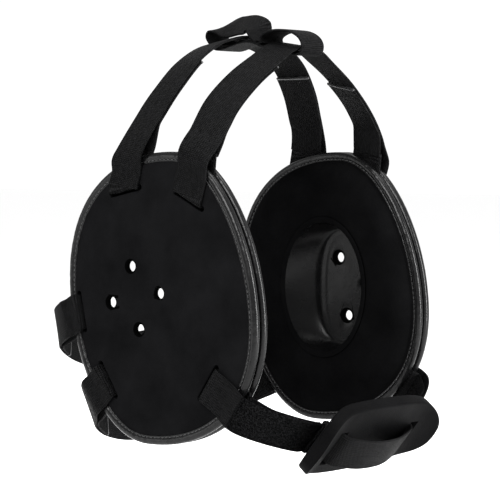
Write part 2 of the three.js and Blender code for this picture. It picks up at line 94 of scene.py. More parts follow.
class GuardSizes(bpy.types.PropertyGroup):
    """Sizes that a user would change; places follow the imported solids."""

    tape_width: FloatProperty(
        name="Tape width", description="Width of the edge tape on each face",
        default=6 * MM, unit="LENGTH")
    web_width: FloatProperty(
        name="Webbing width", description="Width of every strap",
        default=24 * MM, unit="LENGTH")
    web_thickness: FloatProperty(
        name="Webbing thickness", description="Thickness of every strap",
        default=1.5 * MM, unit="LENGTH")
    vent_diameter: FloatProperty(
        name="Vent diameter", description="Diameter of each vent hole",
        default=9 * MM, unit="LENGTH")
    stitch_pitch: FloatProperty(
        name="Stitch pitch", description="Distance from one stitch to the next",
        default=3.1 * MM, unit="LENGTH")
    outline_steps: IntProperty(
        name="Outline steps", description="Number of segments round each ear piece",
        default=240)


class GuardColours(bpy.types.PropertyGroup):
    """Base colours of the finishes."""

    panel: FloatVectorProperty(
        name="Panel", description="Outer face fabric", subtype="COLOR",
        default=(0.0031, 0.0031, 0.0033))
    cushion: FloatVectorProperty(
        name="Cushion", description="Inner cushion fabric", subtype="COLOR",
        default=(0.0018, 0.0018, 0.0019))
    binding: FloatVectorProperty(
        name="Binding", description="Vinyl edge tape", subtype="COLOR",
        default=(0.0018, 0.0018, 0.0019))
    lining: FloatVectorProperty(
        name="Lining", description="Smooth lining of the ear openings", subtype="COLOR",
        default=(0.0014, 0.0014, 0.0015))
    webbing: FloatVectorProperty(
        name="Webbing", description="Woven straps", subtype="COLOR",
        default=(0.0024, 0.0024, 0.0025))
    foam: FloatVectorProperty(
        name="Foam", description="Chin cup foam", subtype="COLOR",
        default=(0.0013, 0.0013, 0.0014))
    # Painted shade: a darker colour for the walls of the vents and a thin ring round them, standing in for
    # the shade inside the holes
    raw_edge: FloatVectorProperty(
        name="Raw edge", description="Cut foam in the walls of the vents", subtype="COLOR",
        default=(0.0006, 0.0006, 0.0006))
    # Painted highlight: the sealed strap ends are coloured lighter than the webbing to stand for the
    # highlight along their edges
    sealed_end: FloatVectorProperty(
        name="Sealed end", description="Melted ends of the webbing", subtype="COLOR",
        default=(0.012, 0.012, 0.0125))
    thread: FloatVectorProperty(
        name="Thread", description="Sewing thread", subtype="COLOR",
        default=(0.007, 0.007, 0.0073))


# Node materials


def new_material(name, colour, roughness):
    material = bpy.data.materials.new(name)
    material.use_nodes = True
    shader = material.node_tree.nodes["Principled BSDF"]
    shader.inputs["Base Color"].default_value = (*colour, 1)
    shader.inputs["Roughness"].default_value = roughness
    return material, material.node_tree, shader


def add_node(tree, kind, **values):
    node = tree.nodes.new(kind)
    for key, value in values.items():
        if hasattr(node, key):
            setattr(node, key, value)
        else:
            node.inputs[key.replace("_", " ").title()].default_value = value
    return node


def link(tree, start, end):
    tree.links.new(start, end)


def add_texture(tree, kind, place, **values):
    """A texture node that reads the given coordinates."""
    node = add_node(tree, kind, **values)
    link(tree, place, node.inputs["Vector"])
    return node


def colour_ramp(tree, shader, factor, colour, stops):
    """Base colour from a factor; each stop has a position and a multiple of the colour."""
    ramp = add_node(tree, "ShaderNodeValToRGB")
    for element, (position, multiple) in zip(ramp.color_ramp.elements, stops):
        element.position = position
        element.color = (*[c * multiple for c in colour], 1)
    link(tree, factor, ramp.inputs["Fac"])
    link(tree, ramp.outputs["Color"], shader.inputs["Base Color"])


def colour_variation(tree, shader, place, colour, scale, spread):
    """Slight cloudy change of the base colour."""
    cloud = add_texture(tree, "ShaderNodeTexNoise", place, Scale=scale, Detail=4.0, Roughness=0.6)
    colour_ramp(tree, shader, cloud.outputs["Fac"], colour, ((0.3, 1 - spread), (0.7, 1 + spread)))


def roughness_variation(tree, shader, place, low, high, scale):
    cloud = add_texture(tree, "ShaderNodeTexNoise", place, Scale=scale, Detail=3.0, Roughness=0.5)
    spread = add_node(tree, "ShaderNodeMapRange")
    spread.inputs["To Min"].default_value = low
    spread.inputs["To Max"].default_value = high
    link(tree, cloud.outputs["Fac"], spread.inputs["Value"])
    link(tree, spread.outputs["Result"], shader.inputs["Roughness"])


def bump_chain(tree, shader, heights):
    """Stacks height sources as bumps, each with its strength and its depth in metres."""
    normal = None
    for height, strength, distance in heights:
        bump = add_node(tree, "ShaderNodeBump")
        bump.inputs["Strength"].default_value = strength
        bump.inputs["Distance"].default_value = distance
        link(tree, height, bump.inputs["Height"])
        if normal is not None:
            link(tree, normal, bump.inputs["Normal"])
        normal = bump.outputs["Normal"]
    link(tree, normal, shader.inputs["Normal"])


def object_coordinates(tree):
    return add_node(tree, "ShaderNodeTexCoord").outputs["Object"]


def soft_material(name, colour, roughness, specular, cloud, uneven, bumps):
    """A finish with a cloudy colour, an uneven roughness and stacked fine bumps."""
    material, tree, shader = new_material(name, colour, roughness)
    place = object_coordinates(tree)
    colour_variation(tree, shader, place, colour, *cloud)
    below, above, scale = uneven
    roughness_variation(tree, shader, place, roughness - below, roughness + above, scale)
    heights = []
    for kind, scale, detail, strength, distance in bumps:
        if kind == "cells":
            height = add_texture(tree, "ShaderNodeTexVoronoi", place, Scale=scale).outputs["Distance"]
        else:
            noisy = add_texture(tree, "ShaderNodeTexNoise", place, Scale=scale, Detail=detail)
            height = noisy.outputs["Fac"]
        heights.append((height, strength, distance))
    bump_chain(tree, shader, heights)
    shader.inputs["Specular IOR Level"].default_value = specular
    return material


def fabric_material(name, colour, roughness, knit_scale, specular):
    """Knitted cover: fine loops and a cloudy tone."""
    return soft_material(name, colour, roughness, specular, (35.0, 0.28), (0.08, 0.08, 60.0), [
        ("cells", knit_scale, 0.0, 0.35, 0.0002),
        ("noise", knit_scale * 0.45, 5.0, 0.3, 0.0004),
    ])


def vinyl_material(name, colour, roughness, grain_scale, specular=0.5):
    """Smooth vinyl with a pebbled grain and faint creases."""
    return soft_material(name, colour, roughness, specular, (50.0, 0.2), (0.07, 0.1, 90.0), [
        ("cells", grain_scale, 0.0, 0.18, 0.0002),
        ("noise", 110.0, 6.0, 0.22, 0.0007),
    ])


def foam_material(name, colour, roughness):
    """Closed-cell foam: tiny cells under a smooth skin."""
    return soft_material(name, colour, roughness, 0.015, (40.0, 0.25), (0.1, 0.1, 70.0), [
        ("cells", 1100.0, 0.0, 0.5, 0.0004),
        ("noise", 45.0, 3.0, 0.3, 0.0015),
    ])


RIBS = 17  # ribs across the webbing
PICKS = 21  # crossing threads in a length of webbing as long as it is wide


def webbing_material(name, colour, roughness):
    """Woven webbing: ribs along its length crossed by fine picks, read from the strap's own map."""
    material, tree, shader = new_material(name, colour, roughness)
    coordinates = add_node(tree, "ShaderNodeTexCoord").outputs
    place = coordinates["Object"]
    split = add_node(tree, "ShaderNodeSeparateXYZ")
    link(tree, coordinates["UV"], split.inputs["Vector"])
    waves = []
    for axis, repeats in (("X", RIBS), ("Y", PICKS)):
        scaled = add_node(tree, "ShaderNodeMath", operation="MULTIPLY")
        scaled.inputs[1].default_value = 2 * math.pi * repeats
        link(tree, split.outputs[axis], scaled.inputs[0])
        wave = add_node(tree, "ShaderNodeMath", operation="SINE")
        link(tree, scaled.outputs[0], wave.inputs[0])
        waves.append(wave.outputs[0])
    weave = add_node(tree, "ShaderNodeMath", operation="MULTIPLY")
    link(tree, waves[0], weave.inputs[0])
    link(tree, waves[1], weave.inputs[1])
    yarn = add_texture(tree, "ShaderNodeTexNoise", place, Scale=420.0, Detail=3.0, Roughness=0.7)
    height = add_node(tree, "ShaderNodeMath", operation="MULTIPLY_ADD")
    height.inputs[1].default_value = 0.4
    link(tree, weave.outputs[0], height.inputs[0])
    link(tree, yarn.outputs["Fac"], height.inputs[2])
    # Painted shade and painted highlights: the weave's grooves are coloured darker and its crests lighter,
    # mixed with a random yarn tone
    colour_ramp(tree, shader, height.outputs[0], colour, ((0.28, 0.2), (0.82, 3.4)))
    fibre = add_texture(tree, "ShaderNodeTexNoise", place, Scale=900.0, Detail=4.0)
    bump_chain(tree, shader, [
        (waves[0], 0.8, 0.0003),
        (weave.outputs[0], 0.8, 0.0004),
        (fibre.outputs["Fac"], 0.5, 0.0005),
    ])
    shader.inputs["Specular IOR Level"].default_value = 0.018
    return material


def pile_material(name, colour, roughness):
    """Hook and loop face: a dense crinkled pile, its raised specks coloured lighter as painted glints."""
    material, tree, shader = new_material(name, colour, roughness)
    place = object_coordinates(tree)
    specks = add_texture(tree, "ShaderNodeTexNoise", place, Scale=1150.0, Detail=4.0, Roughness=0.8)
    # Painted glints: the raised specks of the pile are coloured lighter
    colour_ramp(tree, shader, specks.outputs["Fac"], colour, ((0.45, 0.2), (0.66, 3.6)))
    bump_chain(tree, shader, [(specks.outputs["Fac"], 1.0, 0.0012)])
    shader.inputs["Specular IOR Level"].default_value = 0.0
    return material


# Meshes. Lengths in these functions are millimetres, in the same directions as the solids


def add_object(name, data):
    added = bpy.data.objects.new(name, data)
    bpy.context.scene.collection.objects.link(added)
    return added


def to_mesh(name, bm):
    """A mesh with the shape of a bmesh, which is freed."""
    mesh = bpy.data.meshes.new(name)
    bm.to_mesh(mesh)
    bm.free()
    return mesh


def finish_mesh(name, bm, materials, node_names, smooth_angle=35):
    """Turns a bmesh in millimetres into a piece that stands for its nodes."""
    bmesh.ops.remove_doubles(bm, verts=bm.verts, dist=1e-4)
    bmesh.ops.recalc_face_normals(bm, faces=bm.faces)
    bmesh.ops.scale(bm, vec=(MM, MM, MM), verts=bm.verts)
    mesh = to_mesh(name, bm)
    piece = add_object(name, mesh)
    for material in materials:
        mesh.materials.append(material)
    mesh.shade_smooth()
    mark_sharp(mesh, smooth_angle)
    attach(piece, "root")
    if node_names:
        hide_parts(*node_names)
    return piece


def finish_webbing(name, bm, materials, node_names):
    return finish_mesh(name, bm, materials, node_names, smooth_angle=50)


def mark_sharp(mesh, degrees):
    bm = bmesh.new()
    bm.from_mesh(mesh)
    limit = math.radians(degrees)
    for edge in bm.edges:
        if len(edge.link_faces) == 2 and edge.calc_face_angle(0.0) > limit:
            edge.smooth = False
    bm.to_mesh(mesh)
    bm.free()


def loft(rings, joined=False, caps=True):
    """Skin through rings of points; joined closes the last ring on the first."""
    bm = bmesh.new()
    rows = [[bm.verts.new(point) for point in ring] for ring in rings]
    count = len(rows[0])
    spans = len(rows) if joined else len(rows) - 1
    for i in range(spans):
        low, high = rows[i], rows[(i + 1) % len(rows)]
        for j in range(count):
            k = (j + 1) % count
            bm.faces.new((low[j], low[k], high[k], high[j]))
    if caps and not joined:
        for row, ring in ((rows[0], rings[0]), (rows[-1], rings[-1])):
            middle = bm.verts.new(np.mean(np.asarray(ring), axis=0))
            for j in range(count):
                bm.faces.new((row[j], row[(j + 1) % count], middle))
    bmesh.ops.recalc_face_normals(bm, faces=bm.faces)
    return bm


def cut(bm, cutters):
    """Cuts closed meshes out of a closed mesh."""
    target = add_object("cut_target", to_mesh("cut_target", bm))
    tools = [add_object("cut_tool", to_mesh("cut_tool", cutter)) for cutter in cutters]
    for tool in tools:
        modifier = target.modifiers.new("cut", "BOOLEAN")
        modifier.operation = "DIFFERENCE"
        modifier.solver = "EXACT"
        modifier.object = tool
    graph = bpy.context.evaluated_depsgraph_get()
    result = bpy.data.meshes.new_from_object(target.evaluated_get(graph))
    out = bmesh.new()
    out.from_mesh(result)
    for scratch in [target, *tools]:
        mesh = scratch.data
        bpy.data.objects.remove(scratch)
        bpy.data.meshes.remove(mesh)
    bpy.data.meshes.remove(result)
    if not out.faces:
        raise RuntimeError("a cut left nothing")
    return out


# The outline of an ear piece, with x forward, y up and z outward from its middle plane.
# Squareness is the power of a superellipse: 2 is an ellipse, and more is squarer.

SQUARENESS = 2.13
FRONT_TAPER = -20.0
BACK_TAPER = 16.0
TIP_FORWARD = 8.6
PAD_PROPORTION = 151 / 183
PAD_HALF_HEIGHT = (PAD_HEIGHT / MM) / 2
PAD_HALF_WIDTH = PAD_HALF_HEIGHT * PAD_PROPORTION
HALF_GAP = MIDDLE_X / MM
PANEL_OUT = outward("outer_binding_right", 0)
PANEL_IN = outward("outer_binding_right", 1)
CUSHION_OUT = outward("inner_binding_right", 0)
CUSHION_IN = outward("inner_binding_right", 1)
CUSHION_TOP = outward("inner_pad_right", 1)
RIM = outward("ear_cup_right", 1)
FLOOR = outward("ear_cup_right", 0)
DROP = PAD_MIDDLE_Z / MM
GAP = 0.3  # room left between pieces that lie on each other


def squared(value, squareness):
    return np.sign(value) * np.abs(value) ** (2 / squareness)


def outline_point(angle):
    up = PAD_HALF_HEIGHT * squared(np.sin(angle), SQUARENESS)
    forward = PAD_HALF_WIDTH * squared(np.cos(angle), SQUARENESS)
    share = up / PAD_HALF_HEIGHT
    taper = np.where(forward > 0, FRONT_TAPER, BACK_TAPER)
    return np.stack([forward * (1 + taper / PAD_HALF_WIDTH * share) + TIP_FORWARD * share, up], axis=-1)


def outline_ring(steps, inset, at, ruffle=None):
    """Points round the outline, moved in by inset at a height; ruffle adds to that height."""
    angle = (np.arange(steps) + 0.5) * 2 * math.pi / steps
    place = outline_point(angle)
    along = outline_point(angle + 1e-3) - outline_point(angle - 1e-3)
    along /= np.linalg.norm(along, axis=1)[:, None]
    inward = np.stack([-along[:, 1], along[:, 0]], axis=-1)
    flat = place + inward * inset
    height = np.full(steps, float(at)) if ruffle is None else at + ruffle(angle)
    return np.column_stack([flat, height])


def shrunk(ring, shares):
    """Copies of a ring drawn in toward its middle, to fill the face that it bounds."""
    middle = ring.mean(axis=0)
    return [middle + (ring - middle) * share for share in shares]


def oval_ring(steps, forward, width, height, at, squareness=2.0):
    angle = np.arange(steps) * 2 * math.pi / steps
    return np.column_stack([
        forward + width / 2 * squared(np.cos(angle), squareness),
        height / 2 * squared(np.sin(angle), squareness),
        np.full(steps, float(at)),
    ])


def to_side(bm, sign):
    """From the directions of an ear piece to those of the whole guard."""
    for vert in bm.verts:
        forward, up, outward = vert.co
        vert.co = (sign * (HALF_GAP + outward), -forward, up + DROP)


SIDES = {
    "right": {
        "sign": -1, "forward": -node_middle("ear_cup_right", 1) / MM,
        "floor_forward": -20.0, "floor_width": 53.0, "vents": -19.5,
    },
    "left": {
        "sign": 1, "forward": -node_middle("ear_cup_left", 1) / MM,
        "floor_forward": 13.0, "floor_width": 40.0, "vents": 8.0,
    },
}
EAR_WIDTH = 66.0
EAR_HEIGHT = 90.0
FLOOR_HEIGHT = 76.0
FLOOR_SQUARENESS = 2.7
EAR_WALL = 1.5
LIP_COVER = 0.9  # how deep the cushion cover reaches over the lip of the lining
VENT_ROLL = 1.2  # how far the raw foam swells into each vent
VENT_CIRCLE = 40.0
VENT_TILT = 10.0
VENT_COUNT = 4
CIRCLE_STEPS = 40
OVAL_STEPS = 96
LINING_STEPS = 128

# Slots in shares of the pad's half sizes; heading is square to a slot, run is the strap's way out
SLOT_LENGTH = 27.0
SLOT_WIDTH = 3.6
WEB_GAP = 0.4  # room between the webbing and a slot's wall
SLOT_OFFSET = 0.75 + WEB_GAP - SLOT_WIDTH / 2
SLOTS = {
    "front_crown": {"forward": 0.322, "up": 0.681, "heading": 63.0, "run": 78.0},
    "back_crown": {"forward": -0.362, "up": 0.738, "heading": 102.0, "run": 80.0},
    "upper_back": {"forward": -0.86, "up": -0.115, "heading": 192.0, "run": 205.0},
    "lower_back": {"forward": -0.565, "up": -0.58, "heading": 212.0, "run": 222.0},
    "chin": {"forward": 0.529, "up": -0.551, "heading": -34.0, "run": -34.0},
}


def direction(degrees):
    turn = math.radians(degrees)
    return np.array([math.cos(turn), math.sin(turn)])


def slot_middle(slot):
    return np.array([slot["forward"] * PAD_HALF_WIDTH, slot["up"] * PAD_HALF_HEIGHT])


def vent_places(side):
    turns = [math.radians(VENT_TILT) + i * 2 * math.pi / VENT_COUNT for i in range(VENT_COUNT)]
    radius = VENT_CIRCLE / 2
    return [(side["vents"] + radius * math.cos(turn), radius * math.sin(turn)) for turn in turns]


def vent_meets_floor(side, place):
    across = (place[0] - side["floor_forward"]) / (side["floor_width"] / 2)
    return across ** 2 + (place[1] / (FLOOR_HEIGHT / 2)) ** 2 < 1


def flared_cutter(section, low, high, flare):
    """A cutter that widens at both ends, so that it rounds the rims of its hole."""
    rim = [(flare * (1 - math.cos(turn)), flare * (1 - math.sin(turn))) for turn in (0.5, 1.0, 1.57)]
    rim = [(-2, flare), (0, flare), *rim]
    rows = [(low + depth, grow) for depth, grow in rim]
    rows += [(high - depth, grow) for depth, grow in reversed(rim)]
    return loft([section(grow, at) for at, grow in rows])


def vent_cutter(place, radius, low, high, flare=1.5):
    def section(grow, at):
        across = 2 * (radius + grow)
        return oval_ring(CIRCLE_STEPS, place[0], across, across, at) + (0, place[1], 0)
    return flared_cutter(section, low, high, flare)


def slot_cutter(slot, low, high, flare=0.35):
    middle = slot_middle(slot)
    away = direction(slot["heading"])
    line = np.array([-away[1], away[0]])

    def section(grow, at):
        points = []
        for end in (1, -1):
            for i in range(9):
                turn = math.pi * i / 8 + (0 if end > 0 else math.pi)
                reach = SLOT_WIDTH / 2 + grow
                across = SLOT_OFFSET + reach * math.cos(turn)
                along = end * (SLOT_LENGTH - SLOT_WIDTH) / 2 + reach * math.sin(turn)
                flat = middle + away * across + line * along
                points.append((flat[0], flat[1], at))
        return np.array(points)
    return flared_cutter(section, low, high, flare)


def ear_cup_rows(side, grow):
    """Rings of the outside of the ear lining, from its floor to its rim."""
    around = 2 * EAR_WALL + 2 * grow
    floor = np.array([
        side["floor_forward"], side["floor_width"] + around, FLOOR_HEIGHT + around, FLOOR_SQUARENESS,
    ])
    rim = np.array([side["forward"], EAR_WIDTH + around, EAR_HEIGHT + around, 2.0])
    depth = RIM - FLOOR - grow
    spreads = [  # share of the depth, share of the way from the floor's sizes to the rim's
        (0, 0), (0.015, 0.07), (0.05, 0.15), (0.11, 0.24), (0.19, 0.34), (0.3, 0.45), (0.43, 0.57),
        (0.57, 0.69), (0.71, 0.8), (0.84, 0.895), (0.94, 0.96), (1, 1),
    ]
    rows = []
    for share, spread in spreads:
        forward, width, height, squareness = floor + (rim - floor) * spread
        rows.append((forward, width, height, FLOOR + grow + depth * share, squareness))
    return rows


def ruffled(amount, waves, phase):
    """Small uneven gathers round an outline."""
    def at(angle):
        return amount * np.array([
            noise.noise(Vector((waves * math.cos(a), waves * math.sin(a), phase))) for a in angle
        ])
    return at


def darken_vents(bm, places, reach):
    """Gives the walls of the vents, and a thin ring round each, the second material of their piece: a
    darker colour that paints the shade inside the holes.
    """
    for face in bm.faces:
        middle = face.calc_center_median()
        for forward, up in places:
            if math.hypot(middle.x - forward, middle.y - up) < reach:
                face.material_index = 1


SKIN = 1.6  # how far the covers' own edges lie inside the tape
FACE_INSET = 34.0  # where the flat middle of the panel's face starts
DARK_MARGIN = 1.3  # how far past a vent's radius the painted shade of the vent reaches onto the panel
CUP_DARK_MARGIN = 2.3  # the same in the lining, whose vents flare more
CUP_VENT_FLARE = 2.1
CUP_VENT_REACH = 3.2  # how far past the lining's floor the vent cutters reach


def build_outer_panel(name, side, sizes, material, raw_edge):
    """The outer layer: a flat face that rolls in under the tape, with its vents and slots."""
    tape = sizes.tape_width / MM
    steps = sizes.outline_steps
    face = [  # inset, lifted above the panel's face
        (FACE_INSET, 0.16), (26.0, 0.18), (20.0, 0.2), (15.0, 0.22), (12.0, 0.2), (10.0, 0.14),
        (8.6, 0.02), (7.6, -0.2), (tape + 0.7, -0.5), (tape, -0.75), (tape - 1.2, -1.25),
    ]
    rings = [outline_ring(steps, inset, PANEL_OUT + lift) for inset, lift in face]
    cores = shrunk(rings[0], (0.12, 0.35, 0.6, 0.8))
    edge = [
        (SKIN, PANEL_OUT - 1.5), (SKIN, PANEL_IN + 1.5), (tape, PANEL_IN + 1.0), (tape + 1.0, PANEL_IN),
        (FACE_INSET, PANEL_IN),
    ]
    bm = loft(cores + rings + [outline_ring(steps, inset, at) for inset, at in edge])
    radius = sizes.vent_diameter / MM / 2 - VENT_ROLL
    cutters = [vent_cutter(place, radius, PANEL_IN - 1, PANEL_OUT + 0.16) for place in vent_places(side)]
    cutters += [slot_cutter(slot, PANEL_IN, PANEL_OUT + 0.1) for slot in SLOTS.values()]
    pocket = ear_cup_rows(side, GAP)
    cutters.append(loft([oval_ring(OVAL_STEPS, *row) for row in pocket]))
    bm = cut(bm, cutters)
    # Painted shade in the walls of the vents and just round them
    darken_vents(bm, vent_places(side), radius + DARK_MARGIN)
    to_side(bm, side["sign"])
    return finish_mesh(f"{name}_look", bm, [material, raw_edge], [name])


def build_inner_pad(name, side, sizes, material):
    """The cushion: its face swells from the tape to the lip of the ear opening."""
    tape = sizes.tape_width / MM
    steps = sizes.outline_steps
    rise = CUSHION_TOP - CUSHION_IN
    profile = [  # inset, share of the cushion's swelling
        (tape, 0.02), (tape + 0.8, 0.07), (tape + 2, 0.22), (tape + 4, 0.48), (tape + 6.5, 0.7),
        (tape + 9.5, 0.87), (tape + 13, 0.97), (tape + 17, 1.01), (26, 1.02), (33, 1.0),
    ]
    back = [
        (33, PANEL_IN - GAP), (33.4, CUSHION_OUT), (tape + 1.0, CUSHION_OUT), (tape, CUSHION_OUT - 1.0),
        (SKIN, CUSHION_OUT - 1.5), (SKIN, CUSHION_IN + 1.5), (tape - 1.2, CUSHION_IN + 1.2),
    ]
    ruffle = ruffled(0.35, 9.0, 3.1 * side["sign"])
    face = [outline_ring(steps, inset, CUSHION_IN + rise * lift, ruffle) for inset, lift in profile]
    cores = shrunk(face[-1], (0.8, 0.55, 0.3, 0.1))
    bm = loft([outline_ring(steps, inset, at) for inset, at in back] + face + cores)
    rows = ear_cup_rows(side, GAP)
    lip = rows[-1]
    rounding = [
        (lip[0], lip[1] + 2 * grow, lip[2] + 2 * grow, CUSHION_TOP + depth)
        for grow, depth in ((0.0, 2.2), (0.25, 1.1), (0.8, 0.4), (1.7, 0.05), (2.6, -0.4), (4.2, -2.0))
    ]
    shape = [(*rows[0][:3], PANEL_OUT, rows[0][4]), *rows[:-2], *rounding]
    bm = cut(bm, [loft([oval_ring(OVAL_STEPS, *row) for row in shape])])
    to_side(bm, side["sign"])
    piece = finish_mesh(f"{name}_look", bm, [material], [name])
    return piece


def build_ear_cup(name, side, sizes, material, raw_edge, cover):
    """The lining: a moulded cup with a rolled lip that lies on the cushion."""
    outer = ear_cup_rows(side, 0)
    inner = [
        (forward, width - 2 * EAR_WALL, height - 2 * EAR_WALL, min(at, FLOOR - EAR_WALL), squareness)
        for forward, width, height, at, squareness in outer
    ]
    rim = outer[-1]
    roll = [  # grown past the rim, below it toward the panel
        (-0.2, CUSHION_TOP - RIM + 1.6), (0.1, CUSHION_TOP - RIM + 0.2), (0.6, 0.5), (1.2, 0.42),
        (1.3, 0.3), (0.9, 0.14), (0.1, 0.03), (-0.9, 0.12), (-1.9, 0.45), (-2.6, 0.95),
    ]
    lip = [(rim[0], rim[1] + 2 * grow, rim[2] + 2 * grow, RIM + below) for grow, below in roll]
    rings = outer[:-2] + lip + inner[-2:0:-1]
    floor = inner[0]
    rings.append((*floor[:3], floor[3] - 0.2, floor[4]))
    for share in (0.95, 0.85, 0.6, 0.3, 0.08):
        rings.append((floor[0], floor[1] * share, floor[2] * share, floor[3], floor[4]))
    bm = loft([oval_ring(LINING_STEPS, *row) for row in rings])
    radius = sizes.vent_diameter / MM / 2 - VENT_ROLL
    places = [place for place in vent_places(side) if vent_meets_floor(side, place)]
    low, high = FLOOR - EAR_WALL, FLOOR + CUP_VENT_REACH
    bm = cut(bm, [vent_cutter(place, radius, low, high, CUP_VENT_FLARE) for place in places])
    # Painted shade in the walls of the lining's vents and just round them
    darken_vents(bm, places, radius + CUP_DARK_MARGIN)
    for part in bm.faces:
        if part.calc_center_median().z < RIM + LIP_COVER:
            part.material_index = 2
    to_side(bm, side["sign"])
    return finish_mesh(f"{name}_look", bm, [material, raw_edge, cover], [name], smooth_angle=60)


def build_binding(name, side, sizes, material, low, high, seed):
    """The folded tape: the same profile on both faces, with a groove for the stitching."""
    tape = sizes.tape_width / MM
    steps = sizes.outline_steps * 2
    profile = [  # inset, sunk below the face
        (tape, 0.75), (tape - 0.25, 0.35), (tape - 0.8, 0.34), (tape - 1.3, 0.72), (tape - 1.9, 0.3),
        (tape - 2.4, 0.02), (tape - 3.2, -0.1), (2.0, 0.0), (0.9, 0.55), (0.25, 1.4),
    ]
    outer = [(inset, high - sunk) for inset, sunk in profile]
    outer.append((0.0, (high + low) / 2))
    outer += [(inset, low + sunk) for inset, sunk in reversed(profile)]
    rings = []
    for i, (inset, at) in enumerate(outer):
        fold = 0.22 if inset > 0.5 else 0.1
        rings.append(outline_ring(steps, inset, at, ruffled(fold, 26.0, seed + 0.15 * i)))
    lining = [(tape - 0.3, low + 1.25), (1.3, low + 1.4), (1.3, high - 1.4), (tape - 0.3, high - 1.25)]
    rings += [outline_ring(steps, inset, at) for inset, at in lining]
    bm = loft(rings, joined=True)
    to_side(bm, side["sign"])
    return finish_mesh(f"{name}_look", bm, [material], [name], smooth_angle=60)


THREAD_SIDES = 6
SEAM_SUNK = 0.62  # how far the stitch line lies below the face, in the tape's groove


def add_stitch(bm, middle, along, up, length, radius):
    """One visible stitch: a bowed bead of thread with both ends sunk in."""
    across = np.cross(along, up)
    rings = []
    for share in (-1, -0.7, 0, 0.7, 1):
        centre = middle + along * (share * length / 2) + up * (radius * (0.7 - 1.3 * share ** 2))
        thick = radius * (1.0 if abs(share) < 0.9 else 0.35)
        ring = []
        for j in range(THREAD_SIDES):
            turn = 2 * math.pi * j / THREAD_SIDES
            ring.append(bm.verts.new(centre + thick * (math.cos(turn) * across + math.sin(turn) * up)))
        rings.append(ring)
    for low, high in zip(rings, rings[1:]):
        for j in range(THREAD_SIDES):
            k = (j + 1) % THREAD_SIDES
            bm.faces.new((low[j], low[k], high[k], high[j]))
    bm.faces.new(rings[0])
    bm.faces.new(rings[-1])


def build_seams(side_name, side, sizes, material):
    """Stitch lines that hold the tape, on the outer face and on the head's face."""
    tape = sizes.tape_width / MM
    pitch = sizes.stitch_pitch / MM
    for label, at, facing in (("outer", PANEL_OUT - SEAM_SUNK, 1), ("inner", CUSHION_IN + SEAM_SUNK, -1)):
        bm = bmesh.new()
        ring = outline_ring(2400, tape - 1.2, at)
        steps = np.linalg.norm(np.roll(ring, -1, axis=0) - ring, axis=1)
        length = steps.sum()
        count = int(length / pitch)
        travelled = np.concatenate([[0], np.cumsum(steps)[:-1]])
        for i in range(count):
            index = int(np.searchsorted(travelled, (i + 0.5) * length / count)) % len(ring)
            along = ring[(index + 3) % len(ring)] - ring[index - 3]
            along /= np.linalg.norm(along)
            add_stitch(bm, ring[index], along, np.array([0, 0, facing]), pitch * 0.74, 0.3)
        to_side(bm, side["sign"])
        finish_mesh(f"{label}_seam_{side_name}", bm, [material], [])


# Webbing, as stations that each hold a centre and the direction of the width


def unit(vector):
    return vector / np.linalg.norm(vector)


def catmull_rom(points, share):
    """A point on the centripetal curve through points, at a share of its spans."""
    points = np.asarray(points, dtype=float)
    last = len(points) - 1
    place = share * last
    index = min(int(place), last - 1)
    weight = place - index
    start, end = points[index], points[index + 1]
    before = points[index - 1] if index > 0 else 2 * points[0] - points[1]
    after = points[index + 2] if index + 2 <= last else 2 * points[last] - points[last - 1]
    gaps = [math.sqrt(np.linalg.norm(b - a)) for a, b in ((before, start), (start, end), (end, after))]
    gaps[1] = gaps[1] if gaps[1] > 1e-4 else 1.0
    gaps = [gap if gap > 1e-4 else gaps[1] for gap in gaps]
    lead, span, tail = gaps
    first = ((start - before) / lead - (end - before) / (lead + span) + (end - start) / span) * span
    second = ((end - start) / span - (after - start) / (span + tail) + (after - end) / tail) * span
    cube = 2 * start - 2 * end + first + second
    square = -3 * start + 3 * end - 2 * first - second
    return start + first * weight + square * weight ** 2 + cube * weight ** 3


CURVE_SAMPLES = 600


def smooth_stations(stations, spacing):
    """Even stations on a smooth curve through chosen ones."""
    centres = [s[0] for s in stations]
    sides = [s[1] for s in stations]
    samples = np.arange(CURVE_SAMPLES + 1) / CURVE_SAMPLES
    fine = np.array([catmull_rom(centres, share) for share in samples])
    lengths = np.concatenate([[0], np.cumsum(np.linalg.norm(np.diff(fine, axis=0), axis=1))])
    count = max(2, round(lengths[-1] / spacing))
    shares = np.interp(np.linspace(0, lengths[-1], count + 1), lengths, samples)
    return [(catmull_rom(centres, s), unit(catmull_rom(sides, s)), True) for s in shares]


BEND = 1.6  # radius of a strap's turn at a slot
CLOSE_FROM = 4.0  # past the panel's edge, where a strap's free end starts to close on its run
CLOSE_OVER = 22.0  # the length over which it closes


def inside_outline(point):
    share = point[1] / PAD_HALF_HEIGHT
    from_middle = point[0] - TIP_FORWARD * share
    taper = FRONT_TAPER if from_middle > 0 else BACK_TAPER
    forward = from_middle / (1 + taper / PAD_HALF_WIDTH * share)
    return abs(forward / PAD_HALF_WIDTH) ** SQUARENESS + abs(share) ** SQUARENESS < 1


def edge_distance(slot):
    """How far the pad's edge lies from a slot along the strap's run."""
    away = direction(slot["run"])
    distance = 0.0
    while inside_outline(slot_middle(slot) + away * distance):
        distance += 0.1
    return distance


def over_pad(slot, past, outward, square=True):
    """A station on the right side, past the slot along the run and outward of the middle plane."""
    place = slot_middle(slot) + past * direction(slot["run"])
    forward, up = direction(slot["heading"])
    return np.array([-(HALF_GAP + outward), -place[0], place[1]]), np.array([0, up, forward]), square


